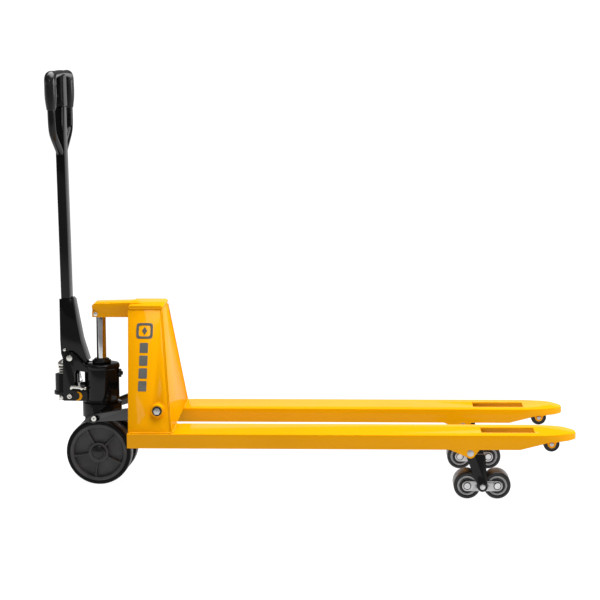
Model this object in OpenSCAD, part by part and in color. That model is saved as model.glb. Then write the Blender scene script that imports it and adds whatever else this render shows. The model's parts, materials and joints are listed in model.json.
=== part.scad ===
// Hand pallet jack: two channel forks on a raked frame, steered by a hand pump unit.
// Row frame: +X towards the fork tips, -Y the right side, Z up from the floor.
// X positions below are measured from the steering axis, then moved by row_shift.

/* [Forks] */
// Overall width over both forks
fork_overall_w = 550; // [500:10:700]
// Width of one fork
fork_w = 160; // [140:5:180]
// Height of the fork top above the floor, raised
fork_top_z = 200; // [190:1:210]
// Depth of the fork channel
fork_depth = 42.5; // [40:0.5:50]
// Sheet thickness of the forks
fork_t = 5; // [4:0.5:6]
// Distance from the steering axis to the fork tips
fork_tip_x = 1433.5; // [1300:0.5:1500]
// Length of the window above the load rollers
window_len = 158; // [150:1:170]

/* [Frame] */
// Height of the top of the side plates
frame_top_z = 545; // [500:1:560]
// Half width of the frame at its foot
frame_foot_y = 262; // [240:1:265]
// Half width of the frame at its top
frame_head_y = 80; // [70:1:90]
// Thickness of the frame plates
frame_t = 6; // [5:0.5:8]

/* [Wheels] */
// Steering wheel diameter
wheel_d = 200; // [180:1:200]
// Steering wheel width
wheel_w = 50; // [45:1:50]
// Load roller diameter
roller_d = 80; // [74:1:84]
// Load roller length
roller_w = 70; // [60:1:72]
// Distance between the two load roller axles of a fork
roller_pitch = 89; // [86:1:92]
// Entry roller diameter
entry_d = 45; // [36:1:46]

/* [Linkage] */
// Length of the lower levers on the rocker
lever_len = 81.6; // [78:0.1:84]
// Height of the rocker shaft
shaft_z = 263.2; // [260:0.1:266]
// Distance from the bracket pivot to the bogie pivot
bracket_len = 113.65; // [110:0.05:116]
// Radius of the lug that the push rod turns
lug_r = 36; // [34:0.5:38]

/* [Handle] */
// Height of the top of the handle
handle_top_z = 1258; // [1150:1:1300]
// Half distance between the grips
grip_y = 128; // [95:1:130]
// Grip diameter
grip_d = 36; // [30:1:38]

// Angle the steering unit is drawn at, seen from above
steer_rest = -3; // [-10:0.1:10]

/* [Hidden] */
axis_x = 4;
$fn = 64;
rear_x = -144.85;
row_shift = -(fork_tip_x + rear_x) / 2;
fork_c = (fork_overall_w - fork_w) / 2;
fork_low_z = fork_top_z - fork_depth;
fork_rear_x = 113;
fork_slot_x0 = 128;
fork_slot_x1 = 238;
tip_low_z = 179;
pivot_x = 1120.7;
pivot_z = 147;
window_x0 = 1154.8;
bogie_a = 70.3;
bogie_x = pivot_x + bracket_len * cos(bogie_a);
bogie_z = roller_d / 2;
entry_x = 1362;
entry_z = 165;
shaft_x = 199.4;
shaft_boss_r = 19;
shaft_bolt_r = 10;
tube_half = 206;
trunnion_x = -9;
trunnion_z = 210;
trunnion_r = 8;
lever_a = 15.45;
lug_a = 37.17;
lever_pin_x = shaft_x + lever_len * sin(lever_a);
lever_pin_z = shaft_z - lever_len * cos(lever_a);
lug_pin_x = pivot_x + lug_r * sin(lug_a);
lug_pin_z = pivot_z + lug_r * cos(lug_a);
run = 0.06;
seat_z = fork_top_z - 0.4;
axle_z = wheel_d / 2;
wheel_in = 27.5;
core_r = 88;
hub_r = 30;
column_r = 25;
body_r = 53;
body_z0 = 256;
body_z1 = 364;
rod_r = 15;
ear_in = 31;
ear_out = 40;
hinge_x = -88;
hinge_z = 385;
hinge_r = 9;
plunger_x = -106;
barrel_r = 35;
barrel_z0 = 278;
barrel_z1 = 330;
press_x = -106;
press_z = 386.2;
base_in = 25;
base_out = 30;
stem_x = -100.4;
stem_z = 590;
stem_lean = 0.95;
loop_r = 11.5;
lever_pivot_z = 1182;
black = [0.05, 0.05, 0.055];
zinc = [0.72, 0.72, 0.68];
orange = [0.93, 0.62, 0.02];
charcoal = [0.13, 0.13, 0.14];
steel = [0.6, 0.61, 0.63];

// Moves a shape drawn from the steering axis into the row frame.
module row() {
  translate([row_shift, 0, 0]) children();
}

// Centres a shape on the steering axis.
module centred() {
  translate([axis_x, 0, 0]) children();
}

// Turns a shape of the steering unit about its axis, to its rest angle.
module steered() {
  centred() rotate([0, 0, steer_rest]) translate([-axis_x, 0, 0]) children();
}

// Cylinder along +Y from y0 to y1 at (x, z).
module pin_y(x, z, r, y0, y1) {
  translate([x, y1, z]) rotate([90, 0, 0]) cylinder(r = r, h = y1 - y0);
}

// Side profile, points in (x, z), drawn from y0 to y1.
module slab_y(y0, y1, pts) {
  translate([0, y1, 0]) rotate([90, 0, 0]) linear_extrude(y1 - y0) polygon(pts);
}

// Front profile, points in (y, z), drawn from x0 to x1.
module slab_x(x0, x1, pts) {
  translate([x0, 0, 0]) rotate([90, 0, 90]) linear_extrude(x1 - x0) polygon(pts);
}

// Round bar between two points.
module bar(a, b, r) {
  d = b - a;
  l = norm(d);
  translate(a) rotate([0, acos(d[2] / l), atan2(d[1], d[0])]) cylinder(r = r, h = l);
}

// ---- Forks ----

// Plan outline of one fork about its centre line, drawn in by t.
function fork_plan(t) = [
  [fork_rear_x - 1, -fork_w / 2 + t], [1320, -fork_w / 2 + t], [1375, -70 + t], [1408 - t / 2, -52 + t],
  [1427 - t, -30 + t / 2], [fork_tip_x - t, -16], [fork_tip_x - t, 16], [1427 - t, 30 - t / 2],
  [1408 - t / 2, 52 - t], [1375, 70 - t], [1320, fork_w / 2 - t], [fork_rear_x - 1, fork_w / 2 - t]
];

// Side outline of the fork walls.
function fork_side(t) = [
  [fork_rear_x - t, fork_low_z - t], [1265, fork_low_z - t], [1350, tip_low_z - t],
  [fork_tip_x + 1, tip_low_z + 0.8 - t], [fork_tip_x + 1, fork_top_z - t * 1.6 - 3],
  [1400, fork_top_z - t], [fork_rear_x - t, fork_top_z - t]
];

module fork_solid(t) {
  intersection() {
    translate([0, 0, fork_low_z - 20]) linear_extrude(fork_depth + 30) polygon(fork_plan(t));
    slab_y(-fork_w, fork_w, fork_side(t));
  }
}

// Lug below one fork wall that holds the bracket pin.
module fork_lug(y0) {
  slab_y(y0, y0 + fork_t, [
    [1056, fork_low_z + 2], [1113, pivot_z - 12.6], [1130, pivot_z - 11], [1149, fork_low_z + 2]
  ]);
  pin_y(pivot_x, pivot_z, 15, y0, y0 + fork_t);
}

// Lug inside the tip that holds the entry roller pin.
module entry_lug(y0) {
  slab_y(y0, y0 + 5, [[entry_x - 24, 197], [entry_x - 11, entry_z - 4], [entry_x + 11, entry_z - 4],
    [entry_x + 24, 197]]);
  pin_y(entry_x, entry_z, 11.7, y0, y0 + 5);
}

module fork() {
  difference() {
    union() {
      difference() {
        fork_solid(0);
        fork_solid(fork_t);
        translate([fork_rear_x - 10, -fork_w / 2 + fork_t, 0]) cube([20, fork_w - 2 * fork_t, fork_top_z - fork_t]);
      }
      fork_lug(-fork_w / 2);
      fork_lug(fork_w / 2 - fork_t);
      entry_lug(-34);
      entry_lug(29);
    }
    translate([window_x0, -roller_w / 2 - 1.5, fork_top_z - 10]) cube([window_len, roller_w + 3, 20]);
    translate([fork_rear_x - 20, -fork_w, seat_z]) cube([262 - fork_rear_x + 20, 2 * fork_w, 10]);
    translate([fork_slot_x0, -24, fork_top_z - 10]) cube([fork_slot_x1 - fork_slot_x0, 48, 20]);
    pin_y(pivot_x, pivot_z, 10, -fork_w, fork_w);
    pin_y(entry_x, entry_z, 6, -40, 40);
  }
}

module fork_right() {
  color(orange) row() translate([0, -fork_c, 0]) fork();
}

module fork_left() {
  color(orange) row() translate([0, fork_c, 0]) fork();
}

// ---- Raked frame between the forks ----

// X of the front face of the frame at height z.
function front_x(z) = 244 - (z - fork_top_z) * 44 / 345;

// Half width of the frame at height z.
function half_y(z) = frame_foot_y - (z - fork_top_z) * (frame_foot_y - frame_head_y) / (frame_top_z - fork_top_z);

// Outer or inner trapezoid, drawn in by t.
function frame_front(t) = [
  [-half_y(seat_z) + t, seat_z], [half_y(seat_z) - t, seat_z],
  [half_y(frame_top_z) - t, frame_top_z], [-half_y(frame_top_z) + t, frame_top_z]
];

module front_plate() {
  color(orange) row() intersection() {
    slab_x(0, 400, frame_front(0));
    slab_y(-frame_foot_y - 1, frame_foot_y + 1, [
      [front_x(seat_z) - frame_t, seat_z], [front_x(seat_z), seat_z],
      [front_x(frame_top_z), frame_top_z], [front_x(frame_top_z) - frame_t, frame_top_z]
    ]);
  }
}

// Right side plate, leaning in to the head, behind the front plate.
module side_plate() {
  difference() {
    intersection() {
      difference() {
        slab_x(0, 400, frame_front(0));
        slab_x(-10, 410, frame_front(frame_t * 1.14));
      }
      slab_y(-frame_foot_y - 1, 0, [
        [115, seat_z], [front_x(seat_z) - frame_t, seat_z],
        [front_x(frame_top_z) - frame_t, frame_top_z], [97, frame_top_z]
      ]);
    }
    pin_y(shaft_x, shaft_z, shaft_boss_r, -260, -180);
  }
}

module side_plate_right() {
  color(orange) row() side_plate();
}

module side_plate_left() {
  color(orange) row() mirror([0, 1, 0]) side_plate();
}

// Cap over the frame and the horn that bears on the piston rod.
module frame_head() {
  cap_x1 = front_x(frame_top_z) + 2;
  color(orange) row() difference() {
    union() {
      slab_y(-38, 38, [[-18, 512], [100, 512], [190, 520], [190, 546], [150, 552.6], [112, 556.5], [97, 556.5],
        [-11, 553.5], [-18, 548]]);
      slab_y(-frame_head_y - 2, frame_head_y + 2, [
        [97, frame_top_z], [cap_x1, frame_top_z], [cap_x1, 549], [cap_x1 - 4, 552.5], [cap_x1 - 9, 553.4],
        [104, 553.4], [97, 550]
      ]);
    }
    translate([axis_x, 0, 500]) cylinder(r = rod_r, h = 32);
    translate([-20, -45, 529]) cube([11, 15, 9]);
    translate([-7, -45, 522]) rotate([-90, 0, 0]) cylinder(r = 4, h = 20);
  }
}

module head_screw() {
  color(zinc) row() {
    pin_y(-7, 522, 4, -40, -25);
    translate([-7, -38, 522]) rotate([90, 0, 0]) cylinder(r = 7, h = 5, $fn = 6);
  }
}

// ---- Rocker bearings in the side plates ----

module both_sides() {
  children();
  mirror([0, 1, 0]) children();
}

module shaft_bosses() {
  color(orange) row() both_sides() difference() {
    pin_y(shaft_x, shaft_z, shaft_boss_r, -245, -209);
    pin_y(shaft_x, shaft_z, shaft_bolt_r, -250, -200);
  }
}

module shaft_bolts() {
  color(steel) row() both_sides() {
    pin_y(shaft_x, shaft_z, shaft_bolt_r, -245, -165);
    translate([shaft_x, -245, shaft_z]) rotate([90, 0, 0]) cylinder(r = 10.5, h = 8, $fn = 6);
  }
}

module bracket_pins() {
  color(steel) row() both_sides() translate([0, -fork_c, 0]) {
    pin_y(pivot_x, pivot_z, 10, -fork_w / 2, fork_w / 2);
  }
}

module entry_pins() {
  color(steel) row() both_sides() translate([0, -fork_c, 0]) {
    pin_y(entry_x, entry_z, 6, -36, 36);
  }
}

module entry_roller() {
  difference() {
    pin_y(entry_x, entry_z, entry_d / 2, -28, 28);
    pin_y(entry_x, entry_z, 6 + run, -30, 30);
  }
}

module entry_roller_right() {
  color(black) row() translate([0, -fork_c, 0]) entry_roller();
}

module entry_roller_left() {
  color(black) row() translate([0, fork_c, 0]) entry_roller();
}

module piston_rod() {
  color(steel) row() centred() translate([0, 0, 285]) cylinder(r = rod_r, h = 247);
}

// ---- Collar that the rocker lifts on, and its ball bearing ----

module bearing_collar() {
  color(black) row() centred() difference() {
    union() {
      translate([0, 0, 202]) cylinder(r = 60, h = 42);
      pin_y(trunnion_x - axis_x, trunnion_z, trunnion_r, -103, 103);
    }
    translate([0, 0, 190]) cylinder(r = column_r + run, h = 60);
  }
}

module thrust_bearing() {
  color(steel) row() centred() difference() {
    translate([0, 0, 244]) cylinder(r = 50, h = 11.7);
    translate([0, 0, 240]) cylinder(r = 31, h = 20);
    translate([0, 0, 249.85]) rotate_extrude() translate([51, 0]) circle(r = 3, $fn = 32);
  }
}

// ---- Pump unit, turning on the collar ----

module pump_body() {
  color(black) row() steered() centred() difference() {
    union() {
      translate([0, 0, body_z0]) cylinder(r = body_r, h = body_z1 - body_z0);
      translate([0, 0, 72]) cylinder(r = column_r, h = body_z0 - 72);
    }
    translate([0, 0, 160]) cylinder(r = rod_r + run, h = 230);
    pin_y(0, axle_z, 10, -60, 60);
  }
}

module gland_nut() {
  color(black) row() steered() centred() difference() {
    union() {
      translate([0, 0, body_z1]) cylinder(r = 29, h = 11);
      translate([0, 0, body_z1 + 11]) cylinder(r = 23, h = 5);
    }
    translate([0, 0, body_z1 - 1]) cylinder(r = rod_r + run, h = 20);
  }
}

module filler_plug() {
  color(black) row() steered() centred() translate([0, 0, 334]) rotate([0, 90, 0]) difference() {
    union() {
      cylinder(r = 13, h = 60);
      cylinder(r = 6, h = 65);
    }
    rotate([0, -90, 0]) translate([0, 0, -40]) cylinder(r = body_r, h = 80);
  }
}

module pump_barrel() {
  color(black) row() steered() difference() {
    union() {
      translate([plunger_x, 0, barrel_z0]) cylinder(r = barrel_r, h = barrel_z1 - barrel_z0);
      translate([plunger_x, 0, barrel_z0 - 10]) cylinder(r = barrel_r + 4, h = 10);
    }
    for (s = [-1, 1]) translate([plunger_x, s * (ear_in + 20), 300]) cube([120, 40, 120], center = true);
    translate([-62, -50, 260]) cube([40, 100, 90]);
    translate([plunger_x, 0, 272]) cylinder(r = 11 + run, h = 70);
  }
}

module valve_block() {
  color(black) row() steered() difference() {
    union() {
      translate([-124, -ear_in, 252]) cube([90, 2 * ear_in, 16]);
      translate([-66, -ear_in, 268]) cube([32, 2 * ear_in, 26]);
    }
    translate([axis_x, 0, 240]) cylinder(r = body_r, h = 90);
    translate([plunger_x, 0, barrel_z0 - 10]) cylinder(r = barrel_r + 4, h = 80);
    translate([-51, 0, 280]) cube([26, 20, 40], center = true);
  }
}

// Cheek plate that carries the handle pin, with a see-through gap to the body.
module cheek() {
  difference() {
    slab_y(-ear_out, -ear_in, [
      [-109, 252], [-109, 385], [-104, 395], [-96, 401.5], [-88, 403.5], [-80, 402], [-69, 393.7],
      [-42, 364.4], [-24, 362], [-24, 340], [-54, 344], [-62, 348], [-69, 347], [-73, 340], [-73, 298],
      [-34, 298], [-34, 252]
    ]);
    translate([axis_x, 0, 200]) cylinder(r = body_r, h = 200);
    pin_y(hinge_x, hinge_z, hinge_r, -60, 0);
  }
}

module cheek_right() {
  color(black) row() steered() cheek();
}

module cheek_left() {
  color(black) row() steered() mirror([0, 1, 0]) cheek();
}

module valve_plugs() {
  color(zinc) row() steered() {
    difference() {
      pin_y(-89, 267, 7.5, -ear_out - 7, -ear_out);
      pin_y(-89, 267, 3.5, -ear_out - 8, -ear_out - 3);
    }
    pin_y(-117, 260, 6.5, -ear_in - 6, -ear_in);
  }
}

// Painted cam disc beside the release valve, with its fixing screw.
module release_cam() {
  color(orange) row() steered() difference() {
    pin_y(-64, 267, 14, -ear_out - 2.5, -ear_out);
    pin_y(-71, 268, 13, -ear_out - 4, -ear_out + 1);
  }
}

// Hollow pin: the release chain passes through its middle.
module handle_pin() {
  color(zinc) row() steered() difference() {
    pin_y(hinge_x, hinge_z, hinge_r, -ear_out - 3, ear_out + 3);
    translate([hinge_x, 0, hinge_z - 20]) cylinder(r = 5, h = 40);
  }
}

module steering_axle() {
  color(steel) row() steered() centred() pin_y(0, axle_z, 10, -79, 79);
}

// ---- Steering wheels ----

module wheel_core() {
  difference() {
    pin_y(0, axle_z, core_r, -wheel_in - wheel_w, -wheel_in);
    difference() {
      union() {
        pin_y(0, axle_z, core_r - 12, -wheel_in - wheel_w - 1, -wheel_in - wheel_w + 14);
        pin_y(0, axle_z, core_r - 12, -wheel_in - 14, -wheel_in + 1);
      }
      pin_y(0, axle_z, hub_r, -wheel_in - wheel_w - 2, -wheel_in + 2);
      for (i = [0:4]) translate([0, 0, axle_z]) rotate([0, -46 - i * 72, 0]) {
        translate([hub_r - 4, -wheel_in - wheel_w + 2, -2.5]) cube([core_r - hub_r - 4, wheel_w - 4, 5]);
      }
    }
    pin_y(0, axle_z, 10 + run, -100, 0);
  }
}

module tyre() {
  difference() {
    union() {
      pin_y(0, axle_z, wheel_d / 2, -wheel_in - wheel_w + 3, -wheel_in - 3);
      pin_y(0, axle_z, wheel_d / 2 - 4, -wheel_in - wheel_w, -wheel_in);
    }
    pin_y(0, axle_z, core_r, -100, 0);
  }
}

module hub_cap() {
  translate([0, -wheel_in - wheel_w, axle_z]) rotate([90, 0, 0]) difference() {
    rotate_extrude() polygon([[0, 0], [23, 0], [23, 3], [17, 6.5], [8, 8.5], [0, 9]]);
    translate([0, 0, -1]) cylinder(r = 11, h = 4);
  }
}

module wheel_core_right() {
  color(charcoal) row() steered() centred() wheel_core();
}

module wheel_core_left() {
  color(charcoal) row() steered() centred() mirror([0, 1, 0]) wheel_core();
}

module tyre_right() {
  color(black) row() steered() centred() tyre();
}

module tyre_left() {
  color(black) row() steered() centred() mirror([0, 1, 0]) tyre();
}

module hub_caps_right() {
  color(charcoal) row() steered() centred() hub_cap();
}

module hub_caps_left() {
  color(charcoal) row() steered() centred() mirror([0, 1, 0]) hub_cap();
}

// ---- Pump plunger and its return spring ----

module plunger() {
  color(zinc) row() steered() translate([plunger_x, 0, 0]) {
    translate([0, 0, 357]) rotate_extrude() polygon([[0, 0], [28, 0], [28, 6], [24, 11], [14, 18], [6, 20.1], [0, 20.1]]);
    translate([0, 0, 303]) cylinder(r = 11, h = 54);
  }
}

module pump_spring() {
  turns = 3;
  color(zinc) row() steered() translate([plunger_x, 0, 0]) for (i = [0:turns - 1]) {
    translate([0, 0, barrel_z1 + 3 + i * 10.2]) rotate_extrude() translate([23, 0]) circle(r = 2.6, $fn = 32);
  }
}

// ---- Release lever and the chain that works it ----

module release_lever() {
  color(zinc) row() steered() {
    slab_y(-ear_out - 7, -ear_out - 3, [[-87, 292], [-84, 300], [-76, 301], [-54, 298], [-46, 291],
      [-50, 287], [-58, 291], [-78, 292], [-84, 288]]);
    pin_y(-82, 295, 4, -ear_out - 3, -ear_out - 0.3);
    pin_y(-58, 309, 2.5, -ear_out - 7, 6);
    slab_y(-ear_out - 7, -ear_out - 3, [[-61, 296], [-55, 296], [-55, 311], [-61, 311]]);
    translate([-40, -ear_out - 5, 292]) sphere(r = 5);
    slab_y(-ear_out - 7, -ear_out - 3, [[-50, 290], [-40, 290.5], [-40, 293.5], [-50, 294]]);
  }
}

module release_chain() {
  color(steel) row() steered() {
    bar([-60.5, 0, 316], [-72, 0, 368], 1.8);
    translate([-72, 0, 368]) sphere(r = 2.1);
    bar([-72, 0, 368], [-85.2, 0, 375], 1.8);
    translate([-85.2, 0, 375]) sphere(r = 1.9);
    translate([-85.2, 0, 375]) cylinder(r = 1.8, h = 17);
  }
}

// ---- Handle ----

// Folded base: two side walls and the web in front, open behind.
module handle_base() {
  outline = [
    [-118, 566], [-118, 440], [-116, 397], [-112, 384], [-105, 377], [-95, 370], [-80, 370], [-42, 372],
    [-35, 374], [-55, 440], [-77, 560], [-82, 566]
  ];
  inner = [
    [-130, 580], [-130, 360], [-41, 360], [-42, 378], [-60.5, 440], [-82.5, 560], [-88, 580]
  ];
  color(black) row() steered() difference() {
    slab_y(-base_out, base_out, outline);
    slab_y(-base_in, base_in, inner);
    pin_y(hinge_x, hinge_z, hinge_r + run, -60, 60);
    pin_y(press_x, press_z, 4, -60, 60);
    pin_y(-104.5, 409, 3, -60, 60);
    translate([axis_x, 0, 300]) cylinder(r = 33, h = 84);
  }
}

module base_bolts() {
  color(zinc) row() steered() {
    pin_y(-104.5, 409, 3, -base_out, base_out);
    both_sides() pin_y(-104.5, 409, 4.5, -base_out - 3, -base_out);
  }
}

// Leans a shape back with the stem.
module lean() {
  translate([stem_x, 0, stem_z]) rotate([0, -stem_lean, 0]) children();
}

module handle_stem() {
  color(black) row() steered() lean() difference() {
    translate([-13.5, -25, -170]) cube([27, 50, 728]);
    translate([-10.5, -22, -171]) cube([21, 44, 730]);
  }
}

// Half of the tube that runs from the stem foot out to one grip.
module loop_half() {
  pts = [[0, -25, 425], [0, -62, 446], [0, -96, 474], [0, -118, 510], [0, -grip_y, 541]];
  for (i = [0:3]) bar(pts[i], pts[i + 1], loop_r);
  for (i = [1:4]) translate(pts[i]) sphere(r = loop_r + 0.4);
}

module handle_loop() {
  color(black) row() steered() lean() difference() {
    union() {
      both_sides() loop_half();
      both_sides() bar([0, -grip_y, 541], [0, -grip_y, 640], loop_r);
      both_sides() translate([0, -grip_y, 640]) sphere(r = loop_r + 0.4);
      both_sides() bar([0, -grip_y, 640], [0, -34, 656], loop_r);
    }
    translate([-13.5, -25, 300]) cube([27, 50, 400]);
    translate([-16, -34, 556]) cube([32, 68, 120]);
  }
}

// Soft sleeves over the upright sides of the loop.
module grips() {
  color(black) row() steered() lean() both_sides() difference() {
    union() {
      translate([0, -grip_y, 563]) cylinder(r = grip_d / 2, h = 65);
      translate([0, -grip_y, 553]) cylinder(r = grip_d / 2 - 3, h = 10);
    }
    translate([0, -grip_y, 520]) cylinder(r = loop_r, h = 130);
  }
}

// Head that joins the stem to the loop and holds the control lever.
module head_housing() {
  color(black) row() steered() lean() difference() {
    slab_y(-34, 34, [[-16, 558], [16, 558], [16, 650], [12, 662], [4, 668], [-6, 668], [-13, 662], [-16, 650]]);
    translate([-30, -9, 575]) cube([60, 18, 36]);
    pin_y(0, lever_pivot_z - stem_z, 4, -40, 40);
  }
}

module control_lever() {
  z0 = lever_pivot_z - stem_z;
  color(charcoal) row() steered() lean() {
    pin_y(0, z0, 9, -8, 8);
    slab_y(-8, 8, [[-27, z0 - 3], [0, z0 - 8], [0, z0 + 8], [-27, z0 + 5]]);
    slab_y(-24, 24, [[-32, z0 - 4], [-25, z0 - 4], [-25, z0 + 6], [-32, z0 + 6]]);
    pin_y(0, z0, 4 - run, -33, 33);
  }
}

module press_roller() {
  color(steel) row() steered() difference() {
    pin_y(press_x, press_z, 8.5, -10, 10);
    pin_y(press_x, press_z, 4 + run, -20, 20);
  }
}

module press_pin() {
  color(steel) row() steered() pin_y(press_x, press_z, 4, -base_out, base_out);
}

// ---- Rocker: levers above and below the torsion tube ----

// Direction and length of a rocker arm in plan.
function arm_z(x) = trunnion_z + (x - trunnion_x) * (shaft_z - trunnion_z) / (shaft_x - trunnion_x);

// One arm: a plate that runs from the tube in to the collar pin, slotted at its end.
module rocker_arm() {
  slope = atan2(shaft_z - trunnion_z, shaft_x - trunnion_x);
  difference() {
    union() {
      intersection() {
        slab_y(-260, -60, [
          [trunnion_x + 8, arm_z(trunnion_x) - 10], [shaft_x, shaft_z - 26], [shaft_x + 14, shaft_z],
          [shaft_x, shaft_z + 20], [trunnion_x + 22, arm_z(trunnion_x) + 18], [trunnion_x + 2, arm_z(trunnion_x) + 13]
        ]);
        linear_extrude(400) polygon([[-60, -88], [8, -88], [shaft_x - 60, -176], [240, -176], [240, -188],
          [shaft_x - 66, -188], [4, -100], [-60, -100]]);
      }
      pin_y(trunnion_x - 3, trunnion_z - 1, 13, -100, -88);
      slab_y(-100, -88, [[-38, 200], [-6, 197], [-2, 222], [-34, 219]]);
    }
    pin_y(trunnion_x, trunnion_z, trunnion_r + 0.6, -110, -80);
    translate([trunnion_x, -110, trunnion_z]) rotate([0, -slope, 0]) {
      translate([-4, 0, 0]) rotate([-90, 0, 0]) cylinder(r = trunnion_r + 0.7, h = 40);
      translate([-4, 0, -trunnion_r - 0.7]) cube([13.6, 40, 2 * trunnion_r + 1.4]);
      translate([9.6, 0, 0]) rotate([-90, 0, 0]) cylinder(r = trunnion_r + 0.7, h = 40);
    }
    pin_y(shaft_x, shaft_z, 17, -260, 0);
  }
}

// Lower lever that drives one push rod.
module lower_lever() {
  translate([shaft_x, 0, shaft_z]) rotate([0, -lever_a, 0]) difference() {
    union() {
      slab_y(-fork_c - 6, -fork_c + 6, [[-19, 5], [19, 5], [9.5, -lever_len], [-9.5, -lever_len]]);
      pin_y(0, -lever_len, 9.5, -fork_c - 6, -fork_c + 6);
    }
    pin_y(0, 0, 17, -260, 0);
    pin_y(0, -lever_len, 5, -260, 0);
  }
  pin_y(lever_pin_x, lever_pin_z, 5, -fork_c - 14, -fork_c + 14);
}

module rocker_arms() {
  color(charcoal) row() both_sides() {
    rocker_arm();
    lower_lever();
  }
}

module torsion_tube() {
  color(black) row() difference() {
    pin_y(shaft_x, shaft_z, 17, -tube_half, tube_half);
    pin_y(shaft_x, shaft_z, shaft_bolt_r + run, -tube_half - 1, tube_half + 1);
  }
}

// Push rod: clevis at the rear, round rod, clevis with a cross pin in front.
module push_rod() {
  dx = lug_pin_x - lever_pin_x;
  dz = lug_pin_z - lever_pin_z;
  pitch = atan2(dz, dx);
  len = sqrt(dx * dx + dz * dz);
  translate([lever_pin_x, 0, lever_pin_z]) rotate([0, -pitch, 0]) {
    difference() {
      union() {
        for (s = [-1, 1]) {
          translate([-8, s * 10.5 - 3, -7.5]) cube([48, 6, 15]);
          translate([len - 40, s * 10.5 - 3, -7.5]) cube([40, 6, 15]);
          pin_y(len, 0, 7.5, s * 10.5 - 3, s * 10.5 + 3);
        }
        translate([28, -13.5, -7.5]) cube([14, 27, 15]);
        translate([len - 48, -13.5, -7.5]) cube([14, 27, 15]);
        translate([34, 0, 0]) rotate([0, 90, 0]) cylinder(r = 7, h = len - 74);
      }
      pin_y(0, 0, 5 + run, -30, 30);
    }
    pin_y(len, 0, 5, -13.5, 13.5);
  }
}

module push_rod_right() {
  color(black) row() translate([0, -fork_c, 0]) push_rod();
}

module push_rod_left() {
  color(black) row() translate([0, fork_c, 0]) push_rod();
}

// ---- Load roller brackets and bogies ----

// Bracket: slotted lug, cross tube and two cheeks down to the bogie pins.
module roller_bracket() {
  difference() {
    union() {
      pin_y(pivot_x, pivot_z, 15, -54.5, 54.5);
      for (s = [-1, 1]) translate([pivot_x, 0, pivot_z]) slab_y(s * 49 - 5, s * 49 + 5, [
        [-13.5, -4], [-6, -29], [24.2, -104], [30, -112], [46, -112], [52, -104], [46, -14], [42.5, -9.5],
        [15, -9.5], [10, 8], [-9, 9]
      ]);
      for (s = [-1, 1]) pin_y(bogie_x, bogie_z, 14.6, s * 49 - 5.5, s * 49 + 5.5);
      translate([pivot_x, 0, pivot_z]) rotate([0, lug_a, 0]) {
        translate([-11.5, -7, 4]) cube([23, 14, lug_r - 4]);
        pin_y(0, lug_r, 12, -7, 7);
      }
    }
    pin_y(pivot_x, pivot_z, 10 + run, -60, 60);
    pin_y(bogie_x, bogie_z, 8 + run, -60, 60);
    translate([pivot_x, 0, pivot_z]) rotate([0, lug_a, 0]) {
      translate([-7.4, -10, lug_r - 17.5]) cube([14.8, 20, 24]);
    }
  }
}

module roller_bracket_right() {
  color(black) row() translate([0, -fork_c, 0]) roller_bracket();
}

module roller_bracket_left() {
  color(black) row() translate([0, fork_c, 0]) roller_bracket();
}

module bogie_pin_pair() {
  for (s = [-1, 1]) pin_y(bogie_x, bogie_z, 8, s * 46.2 - 9.8, s * 46.2 + 9.8);
}

module bogie_pins_right() {
  color(steel) row() translate([0, -fork_c, 0]) bogie_pin_pair();
}

module bogie_pins_left() {
  color(steel) row() translate([0, fork_c, 0]) bogie_pin_pair();
}

// Two link plates with the two roller axles.
module bogie() {
  for (s = [-1, 1]) difference() {
    union() {
      translate([bogie_x - roller_pitch / 2, s * 39 - 3, bogie_z - 15]) cube([roller_pitch, 6, 30]);
      for (e = [-1, 1]) pin_y(bogie_x + e * roller_pitch / 2, bogie_z, 15, s * 39 - 3, s * 39 + 3);
    }
    pin_y(bogie_x, bogie_z, 8 + run, -60, 60);
  }
  for (e = [-1, 1]) pin_y(bogie_x + e * roller_pitch / 2, bogie_z, 7, -43, 43);
}

module bogie_right() {
  color(steel) row() translate([0, -fork_c, 0]) bogie();
}

module bogie_left() {
  color(steel) row() translate([0, fork_c, 0]) bogie();
}

module load_roller(e) {
  x = bogie_x + e * roller_pitch / 2;
  difference() {
    union() {
      pin_y(x, bogie_z, roller_d / 2, -roller_w / 2 + 2, roller_w / 2 - 2);
      pin_y(x, bogie_z, roller_d / 2 - 2, -roller_w / 2, roller_w / 2);
    }
    for (s = [-1, 1]) difference() {
      pin_y(x, bogie_z, 30, s * roller_w / 2 - 3, s * roller_w / 2 + 3);
      pin_y(x, bogie_z, 19, s * roller_w / 2 - 4, s * roller_w / 2 + 4);
    }
    pin_y(x, bogie_z, 7 + run, -60, 60);
  }
}

module roller_front_right() {
  color(charcoal) row() translate([0, -fork_c, 0]) load_roller(1);
}

module roller_rear_right() {
  color(charcoal) row() translate([0, -fork_c, 0]) load_roller(-1);
}

module roller_front_left() {
  color(charcoal) row() translate([0, fork_c, 0]) load_roller(1);
}

module roller_rear_left() {
  color(charcoal) row() translate([0, fork_c, 0]) load_roller(-1);
}

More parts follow.
